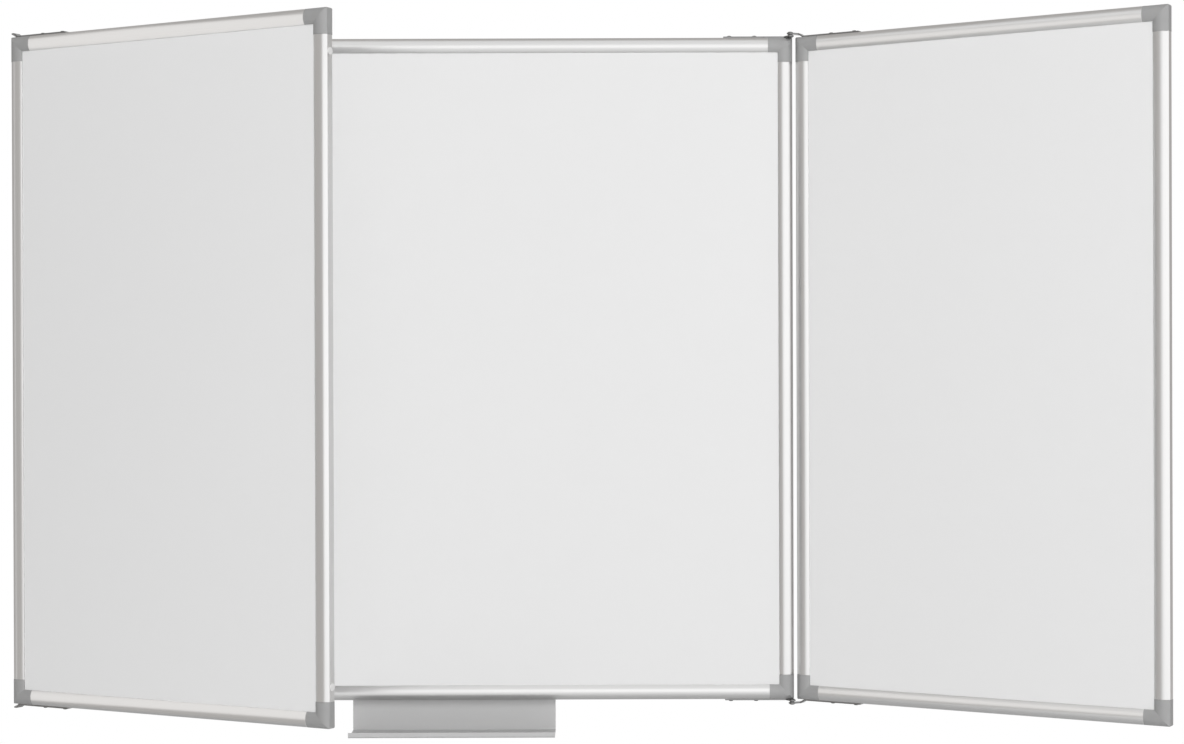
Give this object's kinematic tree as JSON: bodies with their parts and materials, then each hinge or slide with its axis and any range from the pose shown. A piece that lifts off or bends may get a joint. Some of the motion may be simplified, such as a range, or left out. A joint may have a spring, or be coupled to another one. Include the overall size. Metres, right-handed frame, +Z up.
{
  "type": "folding whiteboard",
  "caption": "Wall-hung tri-fold whiteboard: a framed centre board with two hinged half-width wings and a sliding pen tray.",
  "frame": {"origin": "middle of the four wall screws, on the wall plane behind the centre board", "axes": "+Z up, -Y out of the wall towards the reader, +X to the reader's right along the board"},
  "size_m": [1.6739, 0.3297, 1.0567],
  "materials": {
    "writing_enamel": "gloss white lacquer on steel sheet",
    "backing_steel": "galvanised grey",
    "core_board": "pressed fibre",
    "rail_aluminium": "satin anodised",
    "corner_plastic": "moulded silver grey",
    "strap_steel": "zinc plated",
    "fastener_steel": "black zinc plated",
    "bumper_rubber": "matt white",
    "glide_plastic": "moulded grey",
    "tray_metal": "satin grey powder coat"
  },
  "bodies": {
    "centre_board": {"centre_backing_sheet": "backing_steel", "centre_core": "core_board", "centre_corner_bottom_left": "corner_plastic", "centre_corner_bottom_right": "corner_plastic", "centre_corner_top_left": "corner_plastic", "centre_corner_top_right": "corner_plastic", "centre_rail_bottom": "rail_aluminium", "centre_rail_left": "rail_aluminium", "centre_rail_right": "rail_aluminium", "centre_rail_top": "rail_aluminium", "centre_strap_bottom_left": "strap_steel", "centre_strap_bottom_right": "strap_steel", "centre_strap_screws": "fastener_steel", "centre_strap_top_left": "strap_steel", "centre_strap_top_right": "strap_steel", "centre_writing_surface": "writing_enamel", "hinge_pins": "fastener_steel", "hinge_washers": "fastener_steel", "wall_screw_cap_bottom_left": "corner_plastic", "wall_screw_cap_bottom_right": "corner_plastic", "wall_screw_cap_top_left": "corner_plastic", "wall_screw_cap_top_right": "corner_plastic"},
    "left_wing": {"left_wing_back_surface": "writing_enamel", "left_wing_bumper_bottom": "bumper_rubber", "left_wing_bumper_top": "bumper_rubber", "left_wing_core": "core_board", "left_wing_corner_bottom_free": "corner_plastic", "left_wing_corner_bottom_hinge": "corner_plastic", "left_wing_corner_top_free": "corner_plastic", "left_wing_corner_top_hinge": "corner_plastic", "left_wing_rail_bottom": "rail_aluminium", "left_wing_rail_free": "rail_aluminium", "left_wing_rail_hinge": "rail_aluminium", "left_wing_rail_top": "rail_aluminium", "left_wing_strap_bottom": "strap_steel", "left_wing_strap_screws": "fastener_steel", "left_wing_strap_top": "strap_steel", "left_wing_writing_surface": "writing_enamel"},
    "right_wing": {"right_wing_back_surface": "writing_enamel", "right_wing_core": "core_board", "right_wing_corner_bottom_free": "corner_plastic", "right_wing_corner_bottom_hinge": "corner_plastic", "right_wing_corner_top_free": "corner_plastic", "right_wing_corner_top_hinge": "corner_plastic", "right_wing_rail_bottom": "rail_aluminium", "right_wing_rail_free": "rail_aluminium", "right_wing_rail_hinge": "rail_aluminium", "right_wing_rail_top": "rail_aluminium", "right_wing_strap_bottom": "strap_steel", "right_wing_strap_screws": "fastener_steel", "right_wing_strap_top": "strap_steel", "right_wing_writing_surface": "writing_enamel"},
    "tray": {"pen_tray": "tray_metal", "tray_glide_left": "glide_plastic", "tray_glide_right": "glide_plastic"}
  },
  "joints": [
    {"name": "left_wing_hinge", "type": "hinge", "parent": "centre_board", "child": "left_wing", "pos_m": [-0.5825, -0.028, 0], "axis": [0, 0, 1], "range_deg": [-151.2, 28.8]},
    {"name": "right_wing_hinge", "type": "hinge", "parent": "centre_board", "child": "right_wing", "pos_m": [0.5825, -0.028, 0], "axis": [0, 0, -1], "range_deg": [-31.9, 148.1]},
    {"name": "tray_slide", "type": "slide", "parent": "centre_board", "child": "tray", "axis": [1, 0, 0], "range_m": [-0.467, 0.323]}
  ]
}
